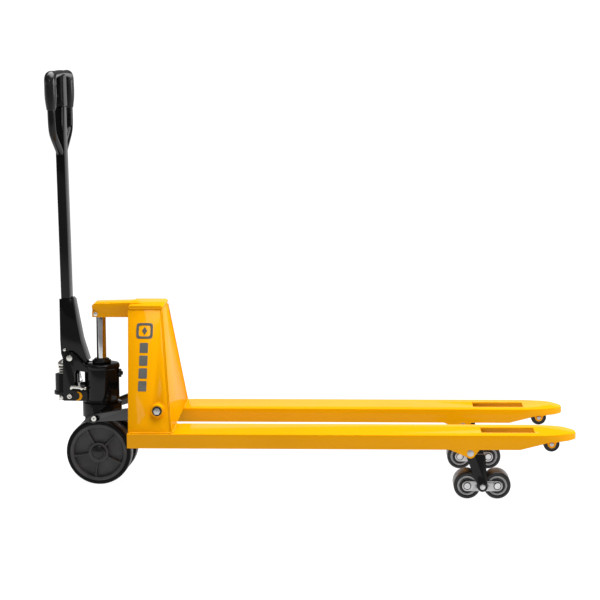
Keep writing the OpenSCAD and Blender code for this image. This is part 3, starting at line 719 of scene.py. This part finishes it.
def bead(name, pts, r=0.0032):
    """A weld bead: a low rippled cord laid along a seam."""
    path = []
    for a, b in zip(pts, pts[1:]):
        n = max(2, int((b - a).length / 0.0022))
        path += [a.lerp(b, i / n) for i in range(n)]
    path.append(pts[-1])
    rad = [r * (0.86 + 0.16 * abs(math.sin(i * 1.05)) + 0.04 * math.sin(i * 0.37))
           for i in range(len(path))]
    rad[0] = rad[-1] = r * 0.5
    bm = bmesh.new()
    sweep(bm, path, rad, 10)
    mesh_object(name, bm, MAT["orange_paint"], "chassis", (), 70)


for _side, s in (("right", -1), ("left", 1)):
    bead(f"weld_side_{_side}", [at(118, s * 262.5, 200.5), at(242, s * 262.5, 200.5)])
    bead(f"weld_corner_{_side}", [at(243.5, s * 261, 203), at(202, s * 83, 538)], 0.0011)
    bead(f"weld_foot_{_side}", [at(244.8, s * 258, 200.6), at(244.8, s * 118, 200.6)], 0.003)
    bead(f"weld_cap_{_side}", [at(100, s * 81.5, 544.6), at(198, s * 81.5, 544.6)], 0.0022)
    turn = [2 * math.pi * k / 40 for k in range(41)]
    bead(f"weld_shaft_{_side}", [at(SHAFT_X + 20 * math.cos(t), s * (228.4 + 0.5337 * -20 * math.sin(t)),
                                    SHAFT_Z + 20 * math.sin(t)) for t in turn], 0.0022)


# bright ends of the collar pins, and dark washers under the shaft bolts
for _side, s in (("right", -1), ("left", 1)):
    bm = bmesh.new()
    revolve(bm, mm_profile([(0, 99.5), (7.4, 99.5), (7.4, 100.5), (8.3, 100.7), (8.3, 102.4), (7.6, 103.2),
                            (2.4, 103.4), (1.8, 102.6), (0, 102.4)]),
            at(TRUNNION_X, 0, TRUNNION_Z), (0, s, 0), 48, False)
    mesh_object(f"v_collar_pin_{_side}", bm, MAT["zinc"], "collar", (), 25)
    bm = bmesh.new()
    revolve(bm, mm_profile([(9.0, 245.1), (13.6, 245.1), (14.2, 245.7), (14.2, 247.2), (13.4, 248),
                            (9.0, 248)]),
            at(SHAFT_X, 0, SHAFT_Z), (0, s, 0), 48)
    mesh_object(f"v_shaft_washer_{_side}", bm, MAT["black_paint"], "chassis", (), 25)


def plate_point(s, u, w, out=0.0):
    """A point on the leaning side plate: u mm forward and w mm up the slope from the badge centre."""
    slope = math.hypot(PLATE_RISE, PLATE_RUN)
    z = BADGE_Z + w * PLATE_RISE / slope
    y = PLATE_FOOT_Y - (z - FORK_TOP) * PLATE_RUN / PLATE_RISE
    return at(BADGE_X + u, s * (y + out * PLATE_RISE / slope), z + out * PLATE_RUN / slope)


def pad(bm, s, outline):
    """A thin printed pad with a soft edge, laid on the side plate."""
    cu = sum(p[0] for p in outline) / len(outline)
    cw = sum(p[1] for p in outline) / len(outline)
    rows = []
    for out, k in ((-0.6, 0.0), (0.54, 0.0), (0.9, 0.5)):
        ring = []
        for u, w in outline:
            d = math.hypot(u - cu, w - cw)
            f = (d - k) / d
            ring.append(bm.verts.new(plate_point(s, cu + (u - cu) * f, cw + (w - cw) * f, out)))
        rows.append(ring)
    n = len(outline)
    for a, b in zip(rows, rows[1:]):
        for i in range(n):
            j = (i + 1) % n
            bm.faces.new((a[i], a[j], b[j], b[i]))
    bm.faces.new(rows[-1])


def rounded(cu, cw, hu, hw, r):
    """Outline of a rounded rectangle about (cu, cw), hu and hw to each side."""
    n = 6
    out = []
    for qu, qw, a0 in ((1, 1, 0), (-1, 1, 90), (-1, -1, 180), (1, -1, 270)):
        for i in range(n + 1):
            t = math.radians(a0 + 90 * i / n)
            out.append((cu + qu * (hu - r) + r * math.cos(t), cw + qw * (hw - r) + r * math.sin(t)))
    return out


# plain printed badge on each side plate: a square frame round a diamond, above a column of four plain bars
BADGE_X, BADGE_Z = 151.0, 482.0
for _side, s in (("right", -1), ("left", 1)):
    bm = bmesh.new()
    n = 72
    rows = []
    for r, out in ((17.5, -0.6), (17.5, 0.6), (18, 0.9), (24.5, 0.9), (25, 0.6), (25, -0.6)):
        rows.append([bm.verts.new(plate_point(s, u, w, out)) for u, w in superellipse(r, r, n, 6.0)])
    for a, b in zip(rows, rows[1:]):
        for i in range(n):
            j = (i + 1) % n
            bm.faces.new((a[i], a[j], b[j], b[i]))
    pad(bm, s, [(0, 13), (-8, 0), (0, -13), (8, 0)])
    for i in range(4):
        pad(bm, s, rounded(0, -54 - 40 * i, 12.5, 16, 2.5))
    mesh_object(f"v_badge_{_side}", bm, MAT["badge_grey"], "chassis", (), 30)


# ---------------------------------------------------------------- stage, light, camera

def stage_floor():
    """Round pale floor that turns up into a low white wall all the way round."""
    bm = bmesh.new()
    prof = [(0.0, 0.0), (4.5, 0.0), (8.0, 0.0)]
    for i in range(1, 13):
        t = math.pi / 2 * i / 12
        prof.append((8.0 + math.sin(t), 1.0 - math.cos(t)))
    prof.append((9.0, 1.8))
    revolve(bm, prof, Vector((0, 0, 0)), (0, 0, 1), 96, False)
    me = bpy.data.meshes.new("studio_floor")
    bm.to_mesh(me)
    bm.free()
    ob = link(bpy.data.objects.new("studio_floor", me))
    for p in me.polygons:
        p.use_smooth = True
    m, nt, sh = new_mat("pale_floor")
    nt.links.new(ramp(nt, noise(nt, 2.0, 3), [(0.3, grey(0.14)), (0.7, grey(0.15))]), sh.inputs["Base Color"])
    sh.inputs["Roughness"].default_value = 0.9
    sh.inputs["Specular IOR Level"].default_value = 0.0
    # paler round the truck, falling off behind the camera
    tc = nt.nodes.new("ShaderNodeTexCoord")
    sep = nt.nodes.new("ShaderNodeSeparateXYZ")
    nt.links.new(tc.outputs["Object"], sep.inputs["Vector"])
    span = nt.nodes.new("ShaderNodeMapRange")
    span.inputs["From Min"].default_value = -3.6
    span.inputs["From Max"].default_value = -1.5
    span.inputs["To Min"].default_value = 0.30
    span.inputs["To Max"].default_value = 0.97
    nt.links.new(sep.outputs["Y"], span.inputs["Value"])
    nt.links.new(span.outputs["Result"], sh.inputs["Emission Strength"])
    sh.inputs["Emission Color"].default_value = (1, 1, 1, 1)
    me.materials.append(m)


def area(name, loc, target, size, size_y, power):
    d = bpy.data.lights.new(name, "AREA")
    d.shape = "RECTANGLE"
    d.size = size
    d.size_y = size_y
    d.energy = power
    ob = link(bpy.data.objects.new(name, d))
    ob.location = loc
    ob.rotation_euler = (Vector(target) - Vector(loc)).to_track_quat("-Z", "Y").to_euler()
    return ob


stage_floor()
area("top_soft", (0.2, 0.3, 4.2), (0, 0, 0.2), 5.0, 3.5, 340)
area("front_right", (4.2, -0.6, 1.9), (-0.3, 0, 0.3), 2.4, 2.0, 95)
area("camera_fill", (-0.9, -5.0, 3.0), (0, 0, 0.3), 1.4, 1.0, 18)

world = bpy.data.worlds.new("studio")
world.use_nodes = True
world.node_tree.nodes["Background"].inputs["Color"].default_value = (1, 1, 1, 1)
world.node_tree.nodes["Background"].inputs["Strength"].default_value = 0.12
bpy.context.scene.world = world
bpy.context.scene.view_settings.view_transform = "Standard"

YAW, PITCH, ROLL = 0.0312, 0.1379, -0.0023
CAM_AT = Vector((0.1427, -5.535, 1.3293))
cam_data = bpy.data.cameras.new("camera")
cam_data.sensor_width = 36
cam_data.lens = 109.99
cam_data.clip_end = 60
cam = link(bpy.data.objects.new("camera", cam_data))
fwd = Vector((-math.sin(YAW) * math.cos(PITCH), math.cos(YAW) * math.cos(PITCH), -math.sin(PITCH)))
right = Vector((math.cos(YAW), math.sin(YAW), 0))
up = right.cross(fwd)
r2 = right * math.cos(ROLL) + up * math.sin(ROLL)
u2 = up * math.cos(ROLL) - right * math.sin(ROLL)
cam.matrix_world = Matrix((
    (r2.x, u2.x, -fwd.x, CAM_AT.x), (r2.y, u2.y, -fwd.y, CAM_AT.y), (r2.z, u2.z, -fwd.z, CAM_AT.z),
    (0, 0, 0, 1)))
bpy.context.scene.camera = cam
